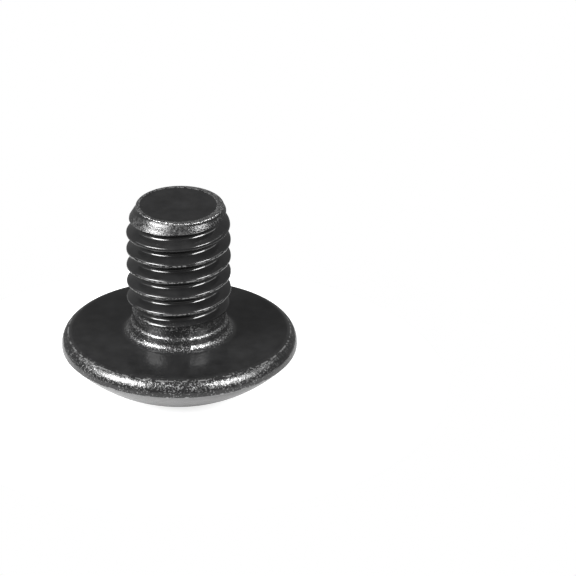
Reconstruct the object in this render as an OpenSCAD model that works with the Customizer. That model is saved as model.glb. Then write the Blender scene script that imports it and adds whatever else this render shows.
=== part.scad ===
// Truss head machine screw, one piece: a wide low domed head with a cross recess,
// a flat bearing face, a short neck and a rolled right-hand thread with a tapered end.
// Units are millimetres. The middle of the bearing face is the origin and the tip points up,
// so the screw stands on its domed head.

/* [Head] */
// Head diameter
head_d = 13.2; // [12:0.1:14.5]
// Head height, from the bearing face to the crown of the dome
head_height = 3.8; // [3.4:0.05:4.4]
// Height of the rim around the head, from the bearing face to the dome
rim_height = 0.95; // [0.9:0.05:1.3]
// Rounding between the bearing face and the side of the rim
rim_round = 0.75; // [0.3:0.05:0.85]

/* [Cross recess] */
// Distance across two opposite wings of the recess, at its mouth
recess_span = 6.2; // [5.4:0.1:6.8]
// Width of a wing at its mouth
wing_width = 1.2; // [1.1:0.05:1.5]
// Depth of the recess below the crown of the dome
recess_depth = 2.9; // [2.4:0.05:3]

/* [Shank] */
// Length of the shank, from the bearing face to the tip
shank_length = 7.75; // [5.75:0.05:10]
// Diameter of the plain neck, the size of the rod before its thread was rolled
neck_d = 5.24; // [5.2:0.02:5.4]
// Height of the collar between the bearing face and the thread
collar_height = 0.8; // [0.65:0.05:1.2]

/* [Thread] */
// Diameter over the thread crests
thread_d = 5.88; // [5.8:0.01:5.97]
// Distance between two crests
pitch = 1; // [0.8:0.05:1.1]
// Angle at which the crest lies a whole number of pitches from the bearing face
thread_angle = 154; // [0:1:359]
// Length over which the thread fades out towards the head
runout = 1.2; // [1:0.1:2]
// Diameter of the flat at the tip
tip_flat_d = 4.7; // [4.2:0.02:4.9]
// Length of the taper at the tip
tip_taper = 1.25; // [0.8:0.05:1.6]
// Height of the rounded edge around the tip's flat
tip_edge = 0.15; // [0.1:0.05:0.3]

/* [Hidden] */
$fn = 96;

head_r = head_d / 2;
dome_rise = head_height - rim_height;
dome_r = (head_r * head_r + dome_rise * dome_rise) / (2 * dome_rise);

// the collar is a little wider than the neck, with a rounded shoulder, and meets the bearing face
// in a fillet
collar_step = 0.14;
collar_r = neck_d / 2 + collar_step;
collar_fillet = 0.42;
collar_shoulder = 0.2;
// how far the threaded shank reaches down inside the collar
shank_root = 0.2;

// thread section: 60 degree flanks between a rounded crest and a rounded root
crest_r = thread_d / 2;
crest_round = 0.125 * pitch;
root_round = 0.18 * pitch;
crest_edge = crest_round * sin(60);
root_edge = pitch / 2 - root_round * sin(60);
flank_drop = (root_edge - crest_edge) / tan(30);
thread_depth = (crest_round + root_round) / 2 + flank_drop;

// the rounded edge of the tip ends, and the taper begins, this far outside the flat
tip_edge_width = 0.17;
tip_flat_r = tip_flat_d / 2;
tip_shoulder_r = tip_flat_r + tip_edge_width;

// grid of the thread surface: steps around one turn, and distances from the crest along the axis
steps = 48;
stations = [
    0,
    crest_round * sin(30),
    crest_edge,
    root_edge,
    pitch / 2 - root_round * sin(30),
    pitch / 2,
    pitch / 2 + root_round * sin(30),
    pitch - root_edge,
    pitch - crest_edge,
    pitch - crest_round * sin(30)
];
rows_per_turn = len(stations);

// the thread's grid ends in a ring below the tip, and level rings carry the taper and the edge up from there
ring_band = 0.32 * pitch;
ring_depths = concat(
    [for (share = [1 : -0.25 : 0.25]) tip_edge + ring_band * share],
    [for (angle = [0 : 22.5 : 90]) tip_edge * (1 - sin(angle))]
);
top_ring = len(ring_depths) - 1;
grid_bottom = collar_height - shank_root;
grid_top = shank_length - ring_depths[0];
first_turn = -1;
last_turn = ceil(shank_length / pitch) + 1;
rows = (last_turn - first_turn) * rows_per_turn;
// grid points nearer than this to an end ring fall on it
snap = 0.03 * pitch;

// recess: outline at the height where the wing tips leave the dome, narrowing towards the shank
mouth_r = recess_span / 2;
mouth_z = -head_height + dome_r - sqrt(dome_r * dome_r - mouth_r * mouth_r);
recess_floor = -head_height + recess_depth;
// depth of the shallow cone in its floor
floor_cone = 0.45;
// slopes of the wing tips and of the wing sides against the axis
tip_slope = tan(26.5);
side_slope = tan(5.75);
// where the cut for the recess starts, clear of the dome
recess_below = -head_height - 0.5;
// distances of the bevelled inner corners from the axis, in half wing widths
shoulder_share = 2.4;
corner_share = 1.55;

// how far the thread surface lies below the crest, for a distance from the crest along the axis
function drop(x) =
    x < crest_edge ? crest_round - sqrt(crest_round * crest_round - x * x)
    : x < root_edge ? crest_round / 2 + (x - crest_edge) / tan(30)
    : thread_depth - root_round + sqrt(root_round * root_round - pow(pitch / 2 - x, 2));

// height of the crest at an angle, for the turn that passes the bearing face
function crest_z(angle) = pitch * (angle - thread_angle) / 360;

// distance along the axis from a point to the nearest crest
function from_crest(angle, z) =
    let (turn = (z - crest_z(angle)) / pitch)
    pitch * abs(turn - round(turn));

// share of the full thread form at a height, nought at the collar and one past the runout
function thread_share(z) =
    let (t = min(1, max(0, (z - collar_height) / runout)))
    t * t * (3 - 2 * t);

// largest radius that the rounded edge and the taper of the tip allow at a height
function taper_r(z) =
    let (
        depth = shank_length - z,
        below_edge = min(1, max(0, (depth - tip_edge) / (tip_taper - tip_edge))),
        round_off = 1 - min(1, depth / tip_edge)
    )
    depth < tip_edge
        ? tip_flat_r + tip_edge_width * sqrt(1 - round_off * round_off)
        : tip_shoulder_r + (crest_r - tip_shoulder_r) * below_edge;

// radius of the shank's surface at an angle and a height
function shank_r(angle, z) =
    let (full = crest_r - drop(from_crest(angle, z)))
    min(taper_r(z), neck_d / 2 + (full - neck_d / 2) * thread_share(z));

function on_shank(angle, z) =
    let (r = shank_r(angle, z))
    [r * cos(angle), r * sin(angle), z];

// height of a grid row at a step around the turn
function row_z(row, step) =
    crest_z(360 * step / steps)
    + pitch * (first_turn + floor(row / rows_per_turn))
    + stations[row % rows_per_turn];

// number of a grid point, where the points past either end fall together on the end ring
function point_at(row, step) =
    step == steps ? point_at(row + rows_per_turn, 0)
    : row_z(row, step) < grid_bottom + snap ? step
    : row_z(row, step) > grid_top - snap ? steps + step
    : (top_ring + 2) * steps + row * steps + step;

// number of a point on one of the flat rings above the grid
function ring_at(ring, step) = steps * (1 + ring) + step % steps;

function cell(a, b, c, d) = [
    if (a != b && b != c && a != c) [a, b, c],
    if (a != c && c != d && a != d) [a, c, d]
];

module screw() {
    color("#2b2b2d")
    union() {
        difference() {
            head();
            recess();
        }
        collar();
        shank();
    }
}

module head() {
    rotate_extrude()
    intersection() {
        translate([0, dome_r - head_height])
        circle(r = dome_r);
        union() {
            translate([0, -head_height])
            square([head_r - rim_round, head_height]);
            translate([0, -head_height])
            square([head_r, head_height - rim_round]);
            translate([head_r - rim_round, -rim_round])
            circle(r = rim_round);
        }
    }
}

module collar() {
    rotate_extrude()
    difference() {
        union() {
            translate([0, -rim_round])
            square([collar_r, rim_round + collar_height - collar_shoulder]);
            translate([0, -rim_round])
            square([collar_r - collar_shoulder, rim_round + collar_height]);
            translate([collar_r - collar_shoulder, collar_height - collar_shoulder])
            circle(r = collar_shoulder);
            translate([0, -rim_round])
            square([collar_r + collar_fillet, rim_round + collar_fillet]);
        }
        translate([collar_r + collar_fillet, collar_fillet])
        circle(r = collar_fillet);
    }
}

module shank() {
    ring_points = [
        for (step = [0 : steps - 1])
        on_shank(360 * step / steps, grid_bottom)
    ];
    taper_points = [
        for (depth = ring_depths, step = [0 : steps - 1])
        on_shank(360 * step / steps, shank_length - depth)
    ];
    grid_points = [
        for (row = [0 : rows - 1], step = [0 : steps - 1])
        on_shank(360 * step / steps, max(grid_bottom, min(grid_top, row_z(row, step))))
    ];
    grid_faces = [
        for (row = [0 : rows - rows_per_turn - 2], step = [0 : steps - 1])
        each cell(
            point_at(row, step),
            point_at(row + 1, step),
            point_at(row + 1, step + 1),
            point_at(row, step + 1)
        )
    ];
    taper_faces = [
        for (ring = [0 : top_ring - 1], step = [0 : steps - 1])
        each cell(
            ring_at(ring, step),
            ring_at(ring + 1, step),
            ring_at(ring + 1, step + 1),
            ring_at(ring, step + 1)
        )
    ];
    bottom_face = [for (step = [0 : steps - 1]) step];
    top_face = [for (step = [steps - 1 : -1 : 0]) ring_at(top_ring, step)];
    polyhedron(
        concat(ring_points, taper_points, grid_points),
        concat(grid_faces, taper_faces, [bottom_face, top_face])
    );
}

// one quarter of the recess outline at a height
function recess_quarter(z) =
    let (
        sunk = z - mouth_z,
        reach = mouth_r - sunk * tip_slope,
        side = wing_width / 2 - sunk * side_slope,
        shoulder = shoulder_share * side,
        corner = corner_share * side
    )
    [[reach, side], [shoulder, side], [corner, corner], [side, shoulder], [side, reach]];

function recess_outline(z) = [
    for (turn = [0 : 3], p = recess_quarter(z))
    [
        p[0] * cos(90 * turn) - p[1] * sin(90 * turn),
        p[0] * sin(90 * turn) + p[1] * cos(90 * turn),
        z
    ]
];

module recess() {
    outside = recess_outline(recess_below);
    inside = recess_outline(recess_floor - floor_cone);
    count = len(outside);
    sides = [
        for (i = [0 : count - 1])
        each [
            [i, count + i, count + (i + 1) % count],
            [i, count + (i + 1) % count, (i + 1) % count]
        ]
    ];
    mouth = [for (i = [0 : count - 1]) [i, (i + 1) % count, 2 * count]];
    floor_faces = [for (i = [0 : count - 1]) [count + i, 2 * count + 1, count + (i + 1) % count]];
    polyhedron(
        concat(outside, inside, [[0, 0, recess_below], [0, 0, recess_floor]]),
        concat(sides, mouth, floor_faces)
    );
}

screw();
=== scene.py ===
import math

import bmesh
import bpy
from mathutils import Matrix, Vector, kdtree


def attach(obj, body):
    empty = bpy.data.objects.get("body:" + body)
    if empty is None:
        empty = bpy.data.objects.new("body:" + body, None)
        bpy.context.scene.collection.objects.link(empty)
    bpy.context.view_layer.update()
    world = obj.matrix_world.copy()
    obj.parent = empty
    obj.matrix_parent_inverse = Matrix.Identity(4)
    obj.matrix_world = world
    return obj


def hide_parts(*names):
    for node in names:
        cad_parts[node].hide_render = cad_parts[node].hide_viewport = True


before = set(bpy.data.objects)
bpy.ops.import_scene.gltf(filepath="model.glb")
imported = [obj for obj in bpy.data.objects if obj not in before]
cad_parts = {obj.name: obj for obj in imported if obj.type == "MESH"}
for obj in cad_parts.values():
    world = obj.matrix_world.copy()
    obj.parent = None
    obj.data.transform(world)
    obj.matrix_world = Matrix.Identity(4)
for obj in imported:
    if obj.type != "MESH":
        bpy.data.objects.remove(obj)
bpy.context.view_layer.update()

# Sizes are in millimetres, as in the part's source, and MM turns them into metres.
MM = 0.001

HEAD_R = 6.594
HEAD_HEIGHT = 3.8
RIM_HEIGHT = 0.95
RIM_ROUND = 0.75
RIM_EDGE_ROUND = 0.1
DOME_R = (HEAD_R**2 + (HEAD_HEIGHT - RIM_HEIGHT) ** 2) / (2 * (HEAD_HEIGHT - RIM_HEIGHT))

NECK_R = 2.62
COLLAR_R = 2.76
COLLAR_HEIGHT = 0.82
COLLAR_SHOULDER = 0.3
COLLAR_FILLET = 0.42
# radii of the collar's top, which lies inside the shank
COLLAR_TOP = (0.8, 2.2)
# profile of the thin line round the collar: how proud it stands, and its height
DIE_LINE = ((0.0, 0.51), (0.014, 0.485), (0.014, 0.465), (0.0, 0.44))
# radii of the rings that the bearing face and the dome are drawn with
FACE_RINGS = (3.4, 3.7, 4.1, 4.6, 5.1, 5.5)
DOME_RINGS = (6.48, 6.3, 6.1, 5.8, 5.5, 5.2, 4.9, 4.6, 4.3, 4.0, 3.7, 3.5)

SHANK_LENGTH = 7.75
CREST_R = 2.925
PITCH = 1.0
CREST_ANGLE = math.radians(154)
# heights between which the groove and the crest reach their full size
GROOVE_START = 0.95
GROOVE_FULL = 1.6
CREST_START = 1.1
CREST_FULL = 2.1
# widths over which the crest and the taper are blended into what they meet
CREST_SOFT = 0.04
TAPER_SOFT = 0.05
# turns that the thread is wound, and how far the shank reaches down inside the collar
THREAD_TURNS = 10
SHANK_SUNK = 0.3
# height of the level rings between the thread's grid and the rounded edge of the tip
RING_BAND = 0.16

TIP_FLAT_R = 2.33
TIP_EDGE = 0.14
TIP_SHOULDER_R = 2.48
TIP_TAPER = 1.45
TIP_SWELL = 1.5
# how fast the room for the thread widens below the taper
TIP_OPENING = 0.1
# the end was cut a little off centre: the shift begins at this depth, and is full after this rise
TIP_OFF_CENTRE = 0.09
OFF_CENTRE_DEPTH = 1.0
OFF_CENTRE_RISE = 0.6
# rings of the lip and the sunk face of the tip: radius, and depth below the lip
TIP_RINGS = ((2.28, 0), (2.22, 0.004), (2.16, 0.018), (2.12, 0.025), (2.04, 0.025))

CREST_ROUND = 0.125 * PITCH
ROOT_ROUND = 0.18 * PITCH
CREST_EDGE = CREST_ROUND * math.sin(math.radians(60))
ROOT_EDGE = PITCH / 2 - ROOT_ROUND * math.sin(math.radians(60))
FLANK_DROP = (ROOT_EDGE - CREST_EDGE) / math.tan(math.radians(30))
THREAD_DEPTH = (CREST_ROUND + ROOT_ROUND) / 2 + FLANK_DROP

WING_REACH = 3.1
WING_HALF = 0.6
WING_CORNER = 0.14
# the wing's corners are never rounded more than this share of its half width
WING_CORNER_SHARE = 0.6
# distances of the bevelled inner corners from the axis, in half wing widths
SHOULDER_SHARE = 2.4
CORNER_SHARE = 1.55
RECESS_DEPTH = 2.9
RECESS_FLOOR = -HEAD_HEIGHT + RECESS_DEPTH
FLOOR_CONE = 0.45
WING_TIP_SLOPE = math.tan(math.radians(26.5))
WING_SIDE_SLOPE = math.tan(math.radians(5.75))
# rounding of the recess's worn mouth, and the angles at which it is drawn, from the dome to the wall
MOUTH_WEAR = 0.07
MOUTH_ANGLES = (20, 40, 60, 80)
# times that the height of the mouth is worked out anew, until wall and dome meet
MOUTH_ROUNDS = 8
# the worn look fades out at this share of the mouth's rounding
MOUTH_MARK = 0.8

TURN_STEPS = 120
HEAD_STEPS = 192
# points nearer than this fall together
MERGE_GAP = 0.0005
# heights that differ by less than this are one height
LEVEL_GAP = 0.001
# edges that turn by less than this many degrees are shaded smooth
SMOOTH_ANGLE = 38


# Hand tools


def deselect_everything():
    bpy.ops.object.select_all(action="DESELECT")


def take_up(piece):
    deselect_everything()
    piece.select_set(True)
    bpy.context.view_layer.objects.active = piece


def start_point(name, x, y, z):
    """A piece that starts as a single point, cut down from a small plane."""
    deselect_everything()
    bpy.ops.mesh.primitive_plane_add(size=MM, location=(0, 0, 0))
    piece = bpy.context.active_object
    piece.name = name
    bpy.ops.object.mode_set(mode="EDIT")
    bpy.ops.mesh.merge(type="CENTER")
    mesh = bmesh.from_edit_mesh(piece.data)
    for v in mesh.verts:
        v.co = Vector((x, y, z)) * MM
        v.select_set(True)
    bmesh.update_edit_mesh(piece.data)
    return piece


def draw_line(points):
    """Extrudes the selected point along a line of points."""
    for here, there in zip(points, points[1:]):
        step = (Vector(there) - Vector(here)) * MM
        bpy.ops.mesh.extrude_vertices_move(TRANSFORM_OT_translate={"value": step})


def set_down(piece):
    bpy.ops.object.mode_set(mode="OBJECT")
    piece.data.update()


def apply_modifier(piece, modifier):
    take_up(piece)
    bpy.ops.object.modifier_apply(modifier=modifier.name)


def select_border(piece, wanted):
    """Selects the open edges whose both ends are wanted."""
    mesh = bmesh.from_edit_mesh(piece.data)
    bpy.ops.mesh.select_mode(type="EDGE")
    bpy.ops.mesh.select_all(action="DESELECT")
    for e in mesh.edges:
        if e.is_boundary and all(wanted(v) for v in e.verts):
            e.select_set(True)
    bmesh.update_edit_mesh(piece.data)


def smooth_step(t):
    t = min(1.0, max(0.0, t))
    return t * t * (3 - 2 * t)


# Threaded shank


def groove_depth(x):
    """How far the thread lies below its crest, at a distance from the crest along the axis."""
    if x < CREST_EDGE:
        return CREST_ROUND - math.sqrt(CREST_ROUND**2 - x * x)
    if x < ROOT_EDGE:
        return CREST_ROUND / 2 + (x - CREST_EDGE) / math.tan(math.radians(30))
    return THREAD_DEPTH - ROOT_ROUND + math.sqrt(ROOT_ROUND**2 - (PITCH / 2 - x) ** 2)


def softer_of(a, b, width):
    """The smaller of two radii, with the corner between them rounded."""
    h = max(width - abs(a - b), 0.0) / width
    return min(a, b) - h * h * width / 4


def tip_envelope(z):
    """Radius that the rounded edge and the swelling taper of the tip allow at a height."""
    depth = SHANK_LENGTH - z
    if depth < TIP_EDGE:
        t = 1 - max(0.0, depth) / TIP_EDGE
        return TIP_FLAT_R + (TIP_SHOULDER_R - TIP_FLAT_R) * math.sqrt(max(0.0, 1 - t * t))
    t = (depth - TIP_EDGE) / (TIP_TAPER - TIP_EDGE)
    if t < 1:
        return TIP_SHOULDER_R + (CREST_R - TIP_SHOULDER_R) * (1 - (1 - t) ** TIP_SWELL)
    return CREST_R + TIP_OPENING * (t - 1)


def shank_radius(angle, z):
    turn = z / PITCH - (angle - CREST_ANGLE) / (2 * math.pi)
    full = CREST_R - groove_depth(PITCH * abs(turn - round(turn)))
    groove = NECK_R + (full - NECK_R) * smooth_step((z - GROOVE_START) / (GROOVE_FULL - GROOVE_START))
    # near the neck the crest is hardly higher than the rod that the thread was rolled on
    rolled = NECK_R + (CREST_R - NECK_R) * smooth_step((z - CREST_START) / (CREST_FULL - CREST_START))
    cut = smooth_step((z - SHANK_LENGTH + OFF_CENTRE_DEPTH) / OFF_CENTRE_RISE)
    aside = TIP_OFF_CENTRE * math.cos(angle) * cut
    return softer_of(tip_envelope(z) + aside, softer_of(groove, rolled, CREST_SOFT), TAPER_SOFT)


def thread_section():
    """One pitch of the thread from crest to crest, as distances from the crest along the axis."""
    half = [CREST_ROUND * math.sin(math.radians(a)) for a in (0, 15, 30, 45, 60)]
    half += [CREST_EDGE + (ROOT_EDGE - CREST_EDGE) * s for s in (0.25, 0.5, 0.75)]
    half += [PITCH / 2 - ROOT_ROUND * math.sin(math.radians(a)) for a in (60, 45, 30, 15, 0)]
    return half + [PITCH - x for x in reversed(half[:-1])]


def draw_in_ring(piece, size, height):
    mesh = bmesh.from_edit_mesh(piece.data)
    for v in mesh.verts:
        if v.select:
            v.co = Vector((v.co.x * size, v.co.y * size, height * MM))
    bmesh.update_edit_mesh(piece.data)


def roll_shank():
    points = []
    for x in thread_section():
        r = CREST_R - groove_depth(min(x, PITCH - x))
        points.append((r * math.cos(CREST_ANGLE), r * math.sin(CREST_ANGLE), x - PITCH))
    shank = start_point("shank", *points[0])
    draw_line(points)
    set_down(shank)
    winding = shank.modifiers.new("winding", "SCREW")
    winding.axis = "Z"
    winding.angle = 2 * math.pi
    winding.screw_offset = PITCH * MM
    winding.steps = winding.render_steps = TURN_STEPS
    winding.iterations = THREAD_TURNS
    winding.use_merge_vertices = False
    apply_modifier(shank, winding)

    bpy.ops.object.mode_set(mode="EDIT")
    bpy.ops.mesh.select_all(action="SELECT")
    bpy.ops.mesh.remove_doubles(threshold=MERGE_GAP * MM)
    foot = COLLAR_HEIGHT - SHANK_SUNK
    grid_top = SHANK_LENGTH - TIP_EDGE - RING_BAND
    for height, above in ((foot, False), (grid_top, True)):
        bpy.ops.mesh.select_all(action="SELECT")
        bpy.ops.mesh.bisect(
            plane_co=(0, 0, height * MM),
            plane_no=(0, 0, 1),
            clear_outer=above,
            clear_inner=not above,
            threshold=MERGE_GAP * MM,
        )

    # level rings carry the taper and the rounded edge up from the thread's own grid
    select_border(shank, lambda v: v.co.z > (grid_top - LEVEL_GAP) * MM)
    heights = [SHANK_LENGTH - TIP_EDGE - RING_BAND / 2]
    heights += [SHANK_LENGTH - TIP_EDGE * (1 - math.sin(math.radians(a))) for a in range(0, 91, 10)]
    reached = grid_top
    for height in heights:
        lift = (height - reached) * MM
        bpy.ops.mesh.extrude_edges_move(TRANSFORM_OT_translate={"value": (0, 0, lift)})
        reached = height

    mesh = bmesh.from_edit_mesh(shank.data)
    for v in mesh.verts:
        angle = math.atan2(v.co.y, v.co.x)
        z = min(v.co.z, SHANK_LENGTH * MM)
        r = shank_radius(angle, z / MM) * MM
        v.co = Vector((r * math.cos(angle), r * math.sin(angle), z))
    bmesh.update_edit_mesh(shank.data)

    # the end is a narrow level lip round a face that lies a little lower
    ring_r = TIP_FLAT_R
    for r, sunk in TIP_RINGS:
        bpy.ops.mesh.extrude_edges_move(TRANSFORM_OT_translate={"value": (0, 0, 0)})
        draw_in_ring(shank, r / ring_r, SHANK_LENGTH - sunk)
        ring_r = r
    bpy.ops.mesh.edge_face_add()
    select_border(shank, lambda v: v.co.z < (foot + LEVEL_GAP) * MM)
    bpy.ops.mesh.edge_face_add()
    bpy.ops.mesh.select_all(action="SELECT")
    bpy.ops.mesh.normals_make_consistent(inside=False)
    set_down(shank)
    return shank


# Head


def arc(cx, cz, r, start, end, count):
    return [
        (cx + r * math.cos(math.radians(start + (end - start) * i / count)),
         cz + r * math.sin(math.radians(start + (end - start) * i / count)))
        for i in range(count + 1)
    ]


def dome_z(r):
    return -HEAD_HEIGHT + DOME_R - math.sqrt(DOME_R**2 - r * r)


def head_section():
    """Half section of the collar, bearing face, rim and dome, from the axis outwards and down."""
    top = [(r, COLLAR_HEIGHT) for r in COLLAR_TOP]
    shoulder_r = COLLAR_R - COLLAR_SHOULDER
    shoulder = arc(shoulder_r, COLLAR_HEIGHT - COLLAR_SHOULDER, COLLAR_SHOULDER, 90, 0, 10)
    # a thin line runs round the collar where the two halves of the die met
    side = [(COLLAR_R + proud, z) for proud, z in DIE_LINE]
    fillet = arc(COLLAR_R + COLLAR_FILLET, COLLAR_FILLET, COLLAR_FILLET, 180, 270, 14)
    face = [(r, 0.0) for r in FACE_RINGS]
    rim = arc(HEAD_R - RIM_ROUND, -RIM_ROUND, RIM_ROUND, 90, 0, 16)
    # the rim meets the dome in a small rounded edge
    turn = 90 - math.degrees(math.asin(HEAD_R / DOME_R))
    reach = RIM_EDGE_ROUND * math.tan(math.radians(turn) / 2)
    edge = arc(HEAD_R - RIM_EDGE_ROUND, dome_z(HEAD_R) + reach, RIM_EDGE_ROUND, 0, -turn, 5)
    dome = [(r, dome_z(r)) for r in DOME_RINGS]
    return top + shoulder + side + fillet + face + rim + edge + dome


def wing_path():
    """One eighth of the cross recess, from the middle of a wing tip to the diagonal, as a list of
    stretches and shares along them."""
    path = []
    for stretch, steps in (("tip", 3), ("corner", 6), ("side", 9), ("bevel", 6)):
        path += [(stretch, i / steps) for i in range(steps)]
    return path + [("bevel", 1.0)]


def eighth_point(spot, reach, side):
    """Point of the recess outline for a spot of the wing path, a wing's reach and its half width."""
    stretch, t = spot
    round_r = min(WING_CORNER, side * WING_CORNER_SHARE)
    shoulder = SHOULDER_SHARE * side
    corner = CORNER_SHARE * side
    if stretch == "tip":
        return reach, t * (side - round_r)
    if stretch == "corner":
        a = t * math.pi / 2
        return reach - round_r + round_r * math.cos(a), side - round_r + round_r * math.sin(a)
    if stretch == "side":
        return reach - round_r + (shoulder - reach + round_r) * t, side
    return shoulder + (corner - shoulder) * t, side + (corner - side) * t


EIGHTH = HEAD_STEPS // 8
WING_PATH = wing_path()
MOUTH_Z = dome_z(WING_REACH)


def outline_point(column, reach, side):
    """Point of the recess outline for one of the head's columns, counted from the first wing."""
    quarter, place = divmod(column, 2 * EIGHTH)
    mirrored = place > EIGHTH
    x, y = eighth_point(WING_PATH[2 * EIGHTH - place if mirrored else place], reach, side)
    if mirrored:
        x, y = y, x
    a = quarter * math.pi / 2
    return x * math.cos(a) - y * math.sin(a), x * math.sin(a) + y * math.cos(a)


def wall_point(column, z, grow=0.0):
    sunk = z - MOUTH_Z
    return outline_point(
        column, WING_REACH - sunk * WING_TIP_SLOPE + grow, WING_HALF - sunk * WING_SIDE_SLOPE + grow
    )


def mouth_point(column, grow):
    """Point where the recess wall, moved outwards by grow, meets the dome."""
    z = MOUTH_Z
    for _ in range(MOUTH_ROUNDS):
        x, y = wall_point(column, z, grow)
        z = dome_z(math.hypot(x, y))
    return x, y, z


def draw_ring(head, place):
    """Extrudes the selected ring to the place of each column."""
    bpy.ops.mesh.extrude_edges_move(TRANSFORM_OT_translate={"value": (0, 0, 0)})
    mesh = bmesh.from_edit_mesh(head.data)
    column = mesh.verts.layers.int["column"]
    for v in mesh.verts:
        if v.select:
            v.co = Vector(place(v[column])) * MM
    bmesh.update_edit_mesh(head.data)


def round_mouth(angle):
    """Places on the rounded mouth of the recess, from the dome at nought to the wall at ninety degrees."""

    def place(column):
        x, y, z = mouth_point(column, MOUTH_WEAR * (1 - math.sin(math.radians(angle))))
        return x, y, z + MOUTH_WEAR * (1 - math.cos(math.radians(angle)))

    return place


def sink_recess(head, start_r):
    """Draws the open ring of the dome in to the cross recess, down its walls and to its floor."""

    def across_dome(share):
        def place(column):
            a = 2 * math.pi * column / HEAD_STEPS
            x, y, z = mouth_point(column, MOUTH_WEAR)
            x = start_r * math.cos(a) * (1 - share) + x * share
            y = start_r * math.sin(a) * (1 - share) + y * share
            return x, y, dome_z(math.hypot(x, y))

        return place

    floor_edge = RECESS_FLOOR - FLOOR_CONE

    def down_wall(share):
        def place(column):
            x, y, z = mouth_point(column, 0.0)
            z += MOUTH_WEAR
            z += (floor_edge - z) * share
            x, y = wall_point(column, z)
            return x, y, z

        return place

    def across_floor(share):
        def place(column):
            x, y = wall_point(column, floor_edge)
            return x * (1 - share), y * (1 - share), floor_edge + FLOOR_CONE * share

        return place

    for share in (0.15, 0.3, 0.45, 0.6, 0.72, 0.82, 0.9, 0.96, 1.0):
        draw_ring(head, across_dome(share))
    for angle in MOUTH_ANGLES:
        draw_ring(head, round_mouth(angle))
    for share in (0.0, 0.1, 0.25, 0.5, 0.75, 0.95, 1.0):
        draw_ring(head, down_wall(share))
    for share in (0.06, 0.3, 0.6, 0.85):
        draw_ring(head, across_floor(share))
    bpy.ops.mesh.merge(type="CENTER")


def turn_head():
    section = head_section()
    points = [(r, 0.0, z) for r, z in section]
    head = start_point("head", *points[0])
    draw_line(points)
    bpy.ops.mesh.select_all(action="SELECT")
    bpy.ops.mesh.spin(
        steps=HEAD_STEPS, angle=2 * math.pi, center=(0, 0, 0), axis=(0, 0, 1), dupli=False
    )
    bpy.ops.mesh.select_all(action="SELECT")
    bpy.ops.mesh.remove_doubles(threshold=MERGE_GAP * MM)
    select_border(head, lambda v: v.co.z > 0)
    bpy.ops.mesh.edge_face_add()

    select_border(head, lambda v: v.co.z < 0)
    mesh = bmesh.from_edit_mesh(head.data)
    column = mesh.verts.layers.int.new("column")
    for v in mesh.verts:
        if v.select:
            v[column] = round(math.atan2(v.co.y, v.co.x) / (2 * math.pi) * HEAD_STEPS) % HEAD_STEPS
    sink_recess(head, section[-1][0])
    bpy.ops.mesh.select_all(action="SELECT")
    bpy.ops.mesh.normals_make_consistent(inside=False)
    set_down(head)
    return head


def mark_mouth(screw):
    """Marks the rounded mouth of the recess as worn, in an attribute that the finish reads."""
    spots = [Vector(round_mouth(angle)(c)) * MM for angle in MOUTH_ANGLES for c in range(HEAD_STEPS)]
    tree = kdtree.KDTree(len(spots))
    for i, spot in enumerate(spots):
        tree.insert(spot, i)
    tree.balance()
    mouth = screw.data.attributes.new("mouth", "FLOAT", "POINT")
    for v in screw.data.vertices:
        if v.co.z < 0:
            gap = tree.find(v.co)[2]
            mouth.data[v.index].value = 1 - smooth_step(gap / (MOUTH_MARK * MOUTH_WEAR * MM))


def make_screw():
    shank = roll_shank()
    screw = turn_head()
    weld = screw.modifiers.new("weld", "BOOLEAN")
    weld.operation = "UNION"
    weld.solver = "EXACT"
    weld.object = shank
    apply_modifier(screw, weld)
    bpy.data.objects.remove(shank)
    screw.name = "truss_screw"
    screw.data.name = "truss_screw"
    take_up(screw)
    bpy.ops.object.shade_smooth_by_angle(angle=math.radians(SMOOTH_ANGLE))
    mark_mouth(screw)
    return screw


screw = make_screw()
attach(screw, "root")
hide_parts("screw")


# Finish

# where each mask rises from nought to one, in millimetres from the axis (OUT), up from the bearing face
# (UP) or out from the taper (BESIDE), while a band has its two ends, and how soft they are
CREST_OUT = (CREST_R - 0.018, CREST_R - 0.006)
CREST_UP = (1.0, 1.5)
TAPER_BESIDE = (-0.12, -0.05)
TIP_UP = (6.7, 7.0)
TIP_OUT = (TIP_FLAT_R - 0.06, TIP_FLAT_R)
LIP_OUT = (2.15, 2.2)
LIP_UP = (SHANK_LENGTH - 0.1, SHANK_LENGTH - 0.04)
TIP_FACE_UP = (SHANK_LENGTH - 0.2, SHANK_LENGTH - 0.1)
NECK_UP = (-0.02, 0.02)
NECK_TOP = (1.1, 1.7)
NECK_OUT = (2.98, 3.12)
SHOULDER_BAND = (0.6, 0.76, 0.05)
SHOULDER_OUT = (2.6, 2.66)
FILLET_BAND = (0.1, 0.28, 0.06)
RUNOUT_BAND = (1.18, 1.45, 0.06)
RUNOUT_OUT = (2.52, 2.6)
SEAM_BAND = (-0.02, 0.02, 0.16)
SEAM_BACK = (-1.0, 0.0)
SEAM_UP = (0.05, 0.15)
FACE_IN = (3.1, 3.3)
FACE_OUT = (6.15, 6.25)
FACE_BAND = (-0.02, 0.02, 0.02)
# radius of the crisp line where the smooth bearing face ends and the rim's dents begin
BORDER_R = 6.23
BORDER_BAND = (BORDER_R - 0.01, BORDER_R + 0.03, 0.03)
BORDER_UP = (-0.3, -0.2)
RIM_OUT = (BORDER_R - 0.05, BORDER_R + 0.03)
RIM_UP = (-1.05, -0.95)
RIM_TOP_OUT = (BORDER_R - 0.2, BORDER_R + 0.15)
RIM_TOP_UP = (-0.8, -0.4)
EDGE_BAND = (-0.99, -0.93, 0.03)
EDGE_OUT = (6.5, 6.55)
DOME_UP = (-1.1, -0.95)


def direction(degrees):
    return math.cos(math.radians(degrees)), math.sin(math.radians(degrees))


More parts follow.
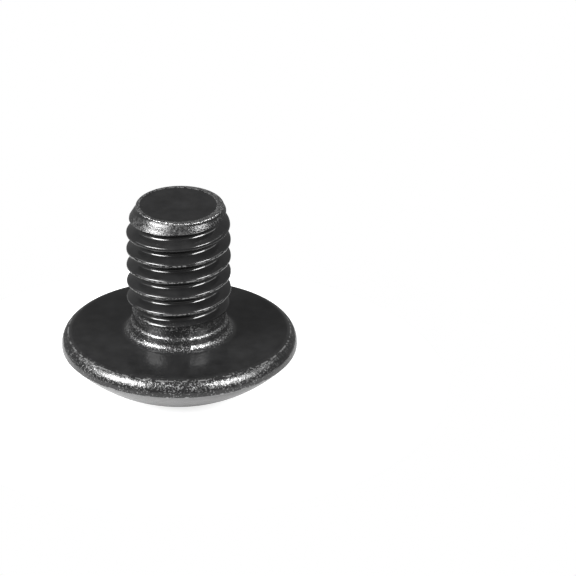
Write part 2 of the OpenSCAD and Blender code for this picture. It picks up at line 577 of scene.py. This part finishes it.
# directions from the axis to the side of the tip that rubbed and to the most dented side of the rim, with
# the shares of facing them between which the wear rises, and the share of the dents that the back has
RUBBED = direction(-121)
RUBBED_SHARE = (0.6, 0.92)
DENTED = direction(-97)
DENTED_SHARE = (0.3, 0.8)
DENTS_BEHIND = 0.2
# direction across the rough seam on the front of the neck
ACROSS_SEAM = direction(13.5)

# radius at which the rim's dents are laid out, and the share of radius and depth together that the way
# over the rounded rim measures
RIM_MID_R = 6.4
ROUND_SHARE = 0.75
# levels of the pattern above which a speck shows, for no amount and for a whole one, and its soft edge
SPECK_LEVEL = 0.78
SPECK_RANGE = 0.5
SPECK_SOFT = 0.08
# the same for a scratch, and how the two directions of scratches are turned
SCRATCH_LEVEL = 0.8
SCRATCH_RANGE = 0.4
SCRATCH_SOFT = 0.1
SCRATCH_TURNS = ((0.3, 0.2, 0.5), (0.3, 0.2, 2.1))
# levels of the patterns between which the rim gets rough and the finish is rubbed off in patches
UNEVEN = (0.38, 0.62)
SHALLOW_DENTS = 0.5
PATCHES = (0.38, 0.68)
PATCH_SHARE = 0.2
MOUTH_PATCHES = (0.3, 0.55)
# heights in millimetres of the finest grain and of the scratches
GRAIN_HEIGHT = 0.0008
SCRATCH_DEPTH = 0.0012

COAT_ROUGHNESS = (0.26, 0.34)
DOME_ROUGHNESS = 0.22
BARE_ROUGHNESS = 0.24
# share of the coat's gloss that the flat faces lack
FACE_DULLNESS = 0.76


def grey(value):
    return value, value, value, 1


COAT_DARK = (0.003, 0.003, 0.0031, 1)
COAT_LIGHT = (0.015, 0.015, 0.0153, 1)
BARE_STEEL = grey(0.36)


class Bench:
    """Lays out the nodes of a material or a node group, left to right."""

    def __init__(self, tree):
        self.tree = tree
        self.count = 0

    def put(self, kind, values=None, **settings):
        made = self.tree.nodes.new(kind)
        made.location = (220 * (self.count // 4) - 1200, 300 - 220 * (self.count % 4))
        self.count += 1
        for name, value in settings.items():
            setattr(made, name, value)
        for name, value in (values or {}).items():
            self.feed(made.inputs[name], value)
        return made

    def feed(self, socket, value):
        if isinstance(value, bpy.types.NodeSocket):
            self.tree.links.new(value, socket)
        else:
            socket.default_value = value

    def math(self, operation, a, b=0.0, c=0.0):
        return self.put("ShaderNodeMath", {0: a, 1: b, 2: c}, operation=operation).outputs[0]

    def join(self, operation, masks):
        found = masks[0]
        for mask in masks[1:]:
            found = self.math(operation, found, mask)
        return found

    def both(self, *masks):
        return self.join("MULTIPLY", masks)

    def most(self, *masks):
        return self.join("MAXIMUM", masks)

    def without(self, mask):
        return self.math("SUBTRACT", 1.0, mask)

    def rise(self, value, low, high):
        """A mask that goes smoothly from nought at low to one at high."""
        made = self.put(
            "ShaderNodeMapRange",
            {"Value": value, "From Min": low, "From Max": high, "To Min": 0.0, "To Max": 1.0},
            interpolation_type="SMOOTHSTEP",
        )
        return made.outputs["Result"]

    def band(self, value, low, high, soft):
        """A mask that is one between low and high, with soft ends outside them."""
        above = self.rise(value, low - soft, low)
        return self.both(above, self.without(self.rise(value, high, high + soft)))

    def split(self, position):
        """The three parts of a position, and its distance from the axis."""
        x, y, z = self.put("ShaderNodeSeparateXYZ", {0: position}).outputs
        flat = self.put("ShaderNodeCombineXYZ", {"X": x, "Y": y, "Z": 0.0})
        length = self.put("ShaderNodeVectorMath", {0: flat.outputs[0]}, operation="LENGTH")
        return x, y, z, length.outputs["Value"]

    def noise(self, position, scale, **values):
        made = self.put("ShaderNodeTexNoise", {"Vector": position, "Scale": scale})
        for name, value in values.items():
            self.feed(made.inputs[name], value)
        return made.outputs[0]

    def blend(self, share, a, b):
        made = self.put("ShaderNodeMix", {0: share, 2: a, 3: b}, data_type="FLOAT")
        return made.outputs[0]

    def blend_colour(self, share, a, b):
        made = self.put("ShaderNodeMix", data_type="RGBA")
        for place, value in ((0, share), (6, a), (7, b)):
            self.feed(made.inputs[place], value)
        return made.outputs[2]

    def group(self, tree, values):
        made = self.put("ShaderNodeGroup", node_tree=tree)
        for name, value in values.items():
            self.feed(made.inputs[name], value)
        return made.outputs


def new_group(name, inputs, outputs):
    tree = bpy.data.node_groups.new(name, "ShaderNodeTree")
    for socket, value in inputs:
        kind = "NodeSocketVector" if value is None else "NodeSocketFloat"
        made = tree.interface.new_socket(socket, in_out="INPUT", socket_type=kind)
        if value is not None:
            made.default_value = value
    for socket in outputs:
        tree.interface.new_socket(socket, in_out="OUTPUT", socket_type="NodeSocketFloat")
    bench = Bench(tree)
    came = bench.put("NodeGroupInput")
    goes = bench.put("NodeGroupOutput")
    return tree, bench, came.outputs, goes.inputs


def make_grain_group():
    """Uneven surface: a height from nought to one, in dents of the given size."""
    tree, bench, came, goes = new_group(
        "uneven_grain", [("Position", None), ("Size", 0.2), ("Detail", 3.0)], ["Height"]
    )
    scale = bench.math("DIVIDE", 1.0, came["Size"])
    noise = bench.noise(came["Position"], scale, Detail=came["Detail"], Roughness=0.6)
    bench.feed(goes["Height"], noise)
    return tree


def make_drawn_group():
    """Dents round the head that were drawn out towards its edge: a height from nought to one."""
    tree, bench, came, goes = new_group(
        "drawn_dents", [("Position", None), ("Size", 0.2), ("Stretch", 1.5)], ["Height"]
    )
    x, y, z, radius = bench.split(came["Position"])
    around = bench.math("MULTIPLY", bench.math("ARCTAN2", x, bench.math("MULTIPLY", y, -1.0)), RIM_MID_R)
    # round the rim, radius and depth together are about as long as the way over its surface
    outwards = bench.math("MULTIPLY", bench.math("SUBTRACT", radius, z), ROUND_SHARE)
    outwards = bench.math("DIVIDE", outwards, came["Stretch"])
    unrolled = bench.put("ShaderNodeCombineXYZ", {"X": around, "Y": outwards, "Z": 0.0})
    scale = bench.math("DIVIDE", 1.0, came["Size"])
    noise = bench.noise(unrolled.outputs[0], scale, Detail=2.0, Roughness=0.55, Distortion=0.6)
    bench.feed(goes["Height"], noise)
    return tree


def make_speck_group():
    """Small bright specks where the finish is rubbed through. Amount says how much they cover."""
    tree, bench, came, goes = new_group(
        "rubbed_specks", [("Position", None), ("Size", 0.1), ("Amount", 0.3)], ["Mask"]
    )
    scale = bench.math("DIVIDE", 1.0, came["Size"])
    noise = bench.noise(came["Position"], scale, Detail=2.0, Roughness=0.55)
    edge = bench.math("SUBTRACT", SPECK_LEVEL, bench.math("MULTIPLY", came["Amount"], SPECK_RANGE))
    bench.feed(goes["Mask"], bench.rise(noise, edge, bench.math("ADD", edge, SPECK_SOFT)))
    return tree


def make_scratch_group():
    """Fine scratches in two directions, as a mask."""
    inputs = [("Position", None), ("Length", 2.0), ("Width", 0.05), ("Amount", 0.3)]
    tree, bench, came, goes = new_group("fine_scratches", inputs, ["Mask"])
    across = bench.math("DIVIDE", 1.0, came["Width"])
    along = bench.math("DIVIDE", 1.0, came["Length"])
    scale = bench.put("ShaderNodeCombineXYZ", {"X": along, "Y": across, "Z": along})
    edge = bench.math("SUBTRACT", SCRATCH_LEVEL, bench.math("MULTIPLY", came["Amount"], SCRATCH_RANGE))
    found = []
    for turn in SCRATCH_TURNS:
        turned = bench.put("ShaderNodeMapping", {"Vector": came["Position"], "Rotation": turn})
        stretched = bench.put(
            "ShaderNodeVectorMath", {0: turned.outputs[0], 1: scale.outputs[0]}, operation="MULTIPLY"
        )
        noise = bench.noise(stretched.outputs[0], 1.0, Detail=2.0)
        found.append(bench.rise(noise, edge, bench.math("ADD", edge, SCRATCH_SOFT)))
    bench.feed(goes["Mask"], bench.most(*found))
    return tree


def make_zone_group():
    """Masks for the parts of the screw, from a position in millimetres."""
    names = ["Crest", "Tip", "Rubbed", "Lip", "Neck", "Rings", "Seam"]
    names += ["Face", "Rim", "Rim Top", "Border", "Edge", "Dome"]
    tree, bench, came, goes = new_group("screw_zones", [("Position", None)], names)
    x, y, height, radius = bench.split(came["Position"])

    def reach(way):
        """Distance from the axis along a direction."""
        return bench.math("MULTIPLY_ADD", x, way[0], bench.math("MULTIPLY", y, way[1]))

    def facing(way):
        return bench.math("DIVIDE", reach(way), radius)

    def out(ends):
        return bench.rise(radius, *ends)

    def up(ends):
        return bench.rise(height, *ends)

    bench.feed(goes["Crest"], bench.both(out(CREST_OUT), up(CREST_UP)))

    # the taper's own surface, and not the groove that is cut into it
    t = bench.math("SUBTRACT", height, SHANK_LENGTH - TIP_TAPER)
    t = bench.math("DIVIDE", bench.math("MAXIMUM", t, 0.0), TIP_TAPER - TIP_EDGE)
    drop = bench.math("POWER", bench.math("MINIMUM", t, 1.0), TIP_SWELL)
    taper = bench.math("MULTIPLY_ADD", drop, TIP_SHOULDER_R - CREST_R, CREST_R)
    beside = bench.rise(bench.math("SUBTRACT", radius, taper), *TAPER_BESIDE)
    tip = bench.both(beside, up(TIP_UP), out(TIP_OUT))
    lip = bench.both(out(LIP_OUT), up(LIP_UP))
    bench.feed(goes["Tip"], tip)
    bench.feed(goes["Rubbed"], bench.both(tip, bench.rise(facing(RUBBED), *RUBBED_SHARE)))
    bench.feed(goes["Lip"], lip)

    near = bench.without(out(NECK_OUT))
    neck = bench.both(bench.without(up(NECK_TOP)), near, up(NECK_UP))
    shoulder = bench.both(bench.band(height, *SHOULDER_BAND), out(SHOULDER_OUT))
    fillet = bench.both(bench.band(height, *FILLET_BAND), near)
    runout = bench.both(bench.band(height, *RUNOUT_BAND), out(RUNOUT_OUT))
    seam = bench.both(bench.band(reach(ACROSS_SEAM), *SEAM_BAND), bench.without(bench.rise(y, *SEAM_BACK)))
    bench.feed(goes["Neck"], neck)
    bench.feed(goes["Rings"], bench.both(neck, bench.most(shoulder, fillet, runout)))
    bench.feed(goes["Seam"], bench.both(neck, seam, up(SEAM_UP)))

    bearing = bench.both(out(FACE_IN), bench.without(out(FACE_OUT)), bench.band(height, *FACE_BAND))
    end = bench.both(up(TIP_FACE_UP), bench.without(lip))
    bench.feed(goes["Face"], bench.most(bearing, end))

    # the rim is dented and rubbed most at the front
    worn = bench.blend(bench.rise(facing(DENTED), *DENTED_SHARE), DENTS_BEHIND, 1.0)
    side = bench.both(up(RIM_UP), worn)
    bench.feed(goes["Rim"], bench.both(out(RIM_OUT), side))
    bench.feed(goes["Rim Top"], bench.both(out(RIM_TOP_OUT), up(RIM_TOP_UP), side))
    bench.feed(goes["Border"], bench.both(bench.band(radius, *BORDER_BAND), up(BORDER_UP)))
    bench.feed(goes["Edge"], bench.both(bench.band(height, *EDGE_BAND), out(EDGE_OUT)))
    bench.feed(goes["Dome"], bench.without(up(DOME_UP)))
    return tree


GRAIN = make_grain_group()
DRAWN = make_drawn_group()
SPECKS = make_speck_group()
SCRATCHES = make_scratch_group()
ZONES = make_zone_group()


def make_black_steel():
    """Glossy black coating on steel, dented and rubbed bare where the screw was formed and handled."""
    mat = bpy.data.materials.new("black_steel")
    mat.use_nodes = True
    tree = mat.node_tree
    tree.nodes.clear()
    bench = Bench(tree)
    place = bench.put("ShaderNodeTexCoord").outputs["Object"]
    # the patterns and zones are laid out in millimetres
    in_mm = {0: place, 1: (1 / MM, 1 / MM, 1 / MM)}
    point = bench.put("ShaderNodeVectorMath", in_mm, operation="MULTIPLY").outputs[0]
    zones = bench.group(ZONES, {"Position": point})
    mouth = bench.put("ShaderNodeAttribute", attribute_name="mouth").outputs["Fac"]

    def grain(size, detail):
        return bench.group(GRAIN, {"Position": point, "Size": size, "Detail": detail})[0]

    def specks(size, amount):
        return bench.group(SPECKS, {"Position": point, "Size": size, "Amount": amount})[0]

    fine = grain(0.05, 2.0)
    small = grain(0.12, 3.0)
    patchy = grain(0.16, 5.0)
    blotches = grain(0.9, 4.0)
    # the rim is smoother in some places than in others
    uneven = bench.rise(blotches, *UNEVEN)
    dents = bench.group(DRAWN, {"Position": point, "Size": 0.2, "Stretch": 1.5})[0]
    dents = bench.both(dents, bench.blend(uneven, SHALLOW_DENTS, 1.0))
    marks = {"Position": point, "Length": 1.6, "Width": 0.06, "Amount": 0.35}
    scratches = bench.group(SCRATCHES, marks)[0]

    deep = bench.math("MULTIPLY", fine, GRAIN_HEIGHT)
    # pattern, zone, height in millimetres
    for pattern, zone, height in (
        (dents, zones["Rim"], 0.03),
        (fine, zones["Rim"], 0.008),
        (small, zones["Face"], 0.002),
        (small, zones["Tip"], 0.022),
        (fine, zones["Tip"], 0.003),
        (small, zones["Lip"], 0.03),
        (small, zones["Neck"], 0.013),
        (small, zones["Rings"], 0.008),
        (small, zones["Seam"], 0.015),
        (small, zones["Crest"], 0.008),
        (small, zones["Dome"], 0.004),
        (small, mouth, 0.012),
    ):
        deep = bench.math("MULTIPLY_ADD", bench.both(pattern, zone), height, deep)
    deep = bench.math("MULTIPLY_ADD", scratches, -SCRATCH_DEPTH, deep)
    bump = bench.put("ShaderNodeBump", {"Height": deep, "Strength": 1.0, "Distance": MM})

    # rubbed bare in patches on one side of the tip and on the mouth of the recess, and in specks elsewhere
    patches = bench.math("MULTIPLY", bench.rise(patchy, *PATCHES), PATCH_SHARE)
    bare = bench.both(zones["Rubbed"], patches)
    bare = bench.most(bare, bench.both(mouth, bench.rise(small, *MOUTH_PATCHES)))
    # zone, size and amount of the specks, and how bare they are in smooth and in uneven places
    for zone, size, amount, least, full in (
        ("Tip", 0.14, 0.4, 0.2, 0.2),
        ("Lip", 0.12, 0.62, 1.0, 1.0),
        ("Rings", 0.08, 0.48, 0.5, 0.5),
        ("Neck", 0.08, 0.34, 1.0, 1.0),
        ("Seam", 0.12, 0.5, 1.0, 1.0),
        ("Crest", 0.16, 0.62, 1.0, 1.0),
        ("Rim Top", 0.14, 0.42, 0.3, 0.75),
        ("Rim", 0.1, 0.4, 0.15, 0.55),
        ("Border", 0.3, 0.6, 0.3, 0.3),
        ("Edge", 0.5, 0.52, 0.9, 0.9),
    ):
        rubbed = bench.both(specks(size, amount), bench.blend(uneven, least, full))
        bare = bench.most(bare, bench.both(zones[zone], rubbed))

    coat = bench.blend_colour(blotches, COAT_DARK, COAT_LIGHT)
    rough = bench.blend(blotches, *COAT_ROUGHNESS)
    rough = bench.blend(zones["Dome"], rough, DOME_ROUGHNESS)
    rough = bench.blend(bare, rough, BARE_ROUGHNESS)

    shader = bench.put(
        "ShaderNodeBsdfPrincipled",
        {
            "Base Color": bench.blend_colour(bare, coat, BARE_STEEL),
            "Metallic": bare,
            "Roughness": rough,
            "Coat Weight": bench.without(bench.math("MULTIPLY_ADD", zones["Face"], FACE_DULLNESS, bare)),
            "Normal": bump.outputs[0],
            "Coat Normal": bump.outputs[0],
        },
    )
    shader.inputs["IOR"].default_value = 1.5
    shader.inputs["Specular IOR Level"].default_value = 0.12
    shader.inputs["Coat IOR"].default_value = 1.5
    shader.inputs["Coat Roughness"].default_value = 0.1
    out = bench.put("ShaderNodeOutputMaterial")
    tree.links.new(shader.outputs["BSDF"], out.inputs["Surface"])
    return mat


screw.data.materials.clear()
screw.data.materials.append(make_black_steel())


# Floor, light and camera


# the screw stands on a small white card, so that its sides mirror the dark room beyond it
FLOOR_R = 15.0
FLOOR_PAINT = grey(0.41)
# what the card adds to its own paint, to the camera and in the screw's mirror images
FLOOR_SEEN = grey(0.76)
FLOOR_MIRRORED = grey(0.06)
ROOM = grey(0.17)

# the camera's lens and place, in millimetres, were fitted to the photo's outline
PHOTO_WIDTH = 576
LENS_IN_PIXELS = 7131.76
SENSOR = 36
CAMERA_RIGHT = Vector((0.99983346, -0.01813527, -0.00203834))
CAMERA_UP = Vector((0.00996823, 0.4491537, 0.8933989))
CAMERA_FORWARD = Vector((0.01528651, 0.89327043, -0.44925968))
CAMERA_PLACE = Vector((0.0, -356.34174, 181.71562))
CAMERA_DROP = 0.017


def make_floor():
    lowest = min(v.co.z for v in screw.data.vertices)
    deselect_everything()
    bpy.ops.mesh.primitive_circle_add(
        vertices=96, radius=FLOOR_R * MM, fill_type="NGON", location=(0, 0, lowest)
    )
    floor = bpy.context.active_object
    floor.name = "studio_floor"
    mat = bpy.data.materials.new("pale_floor")
    mat.use_nodes = True
    tree = mat.node_tree
    shader = tree.nodes["Principled BSDF"]
    shader.inputs["Base Color"].default_value = FLOOR_PAINT
    shader.inputs["Roughness"].default_value = 0.9
    shader.inputs["Specular IOR Level"].default_value = 0.0
    bench = Bench(tree)
    rays = bench.put("ShaderNodeLightPath").outputs
    mirrored = bench.most(rays["Is Glossy Ray"], rays["Is Transmission Ray"])
    glow = bench.blend_colour(mirrored, grey(0), FLOOR_MIRRORED)
    glow = bench.blend_colour(rays["Is Camera Ray"], glow, FLOOR_SEEN)
    bench.feed(shader.inputs["Emission Color"], glow)
    shader.inputs["Emission Strength"].default_value = 1.0
    floor.data.materials.append(mat)


def hang_lamp(name, azimuth, elevation, distance, width, height, brightness):
    """A soft box that faces the screw. The azimuth is counted from the camera's side, to the right, and
    the distance, width and height are in metres."""
    a, e = math.radians(azimuth), math.radians(elevation)
    away = Vector((math.sin(a) * math.cos(e), -math.cos(a) * math.cos(e), math.sin(e)))
    lamp = bpy.data.lights.new(name, "AREA")
    lamp.shape = "RECTANGLE"
    lamp.size = width
    lamp.size_y = height
    lamp.energy = brightness * math.pi * width * height
    placed = bpy.data.objects.new(name, lamp)
    placed.location = away * distance
    placed.rotation_euler = away.to_track_quat("Z", "Y").to_euler()
    bpy.context.scene.collection.objects.link(placed)


make_floor()
hang_lamp("left_soft_box", -65, 34.5, 0.6, 0.32, 0.34, 29)
hang_lamp("left_side_box", -100, 36, 0.6, 0.4, 0.14, 3)
hang_lamp("left_front_box", -41, 30, 0.6, 0.14, 0.2, 10)
hang_lamp("right_soft_box", 54, 34.5, 0.6, 0.29, 0.29, 25)
hang_lamp("right_side_box", 92, 36, 0.6, 0.4, 0.14, 3)

world = bpy.data.worlds.new("studio")
bpy.context.scene.world = world
world.use_nodes = True
sky = Bench(world.node_tree)
seen = sky.put("ShaderNodeLightPath").outputs["Is Camera Ray"]
around = sky.blend_colour(seen, ROOM, grey(1))
sky.feed(world.node_tree.nodes["Background"].inputs["Color"], around)
world.node_tree.nodes["Background"].inputs["Strength"].default_value = 1.0


def place_camera():
    camera = bpy.data.cameras.new("camera")
    camera.sensor_width = SENSOR
    camera.lens = LENS_IN_PIXELS / PHOTO_WIDTH * SENSOR
    placed = bpy.data.objects.new("camera", camera)
    turned = Matrix((CAMERA_RIGHT, CAMERA_UP, -CAMERA_FORWARD)).transposed().to_4x4()
    turned.translation = (CAMERA_PLACE - CAMERA_UP * CAMERA_DROP) * MM
    placed.matrix_world = turned
    bpy.context.scene.collection.objects.link(placed)
    bpy.context.scene.camera = placed


place_camera()
bpy.context.scene.view_settings.view_transform = "Standard"
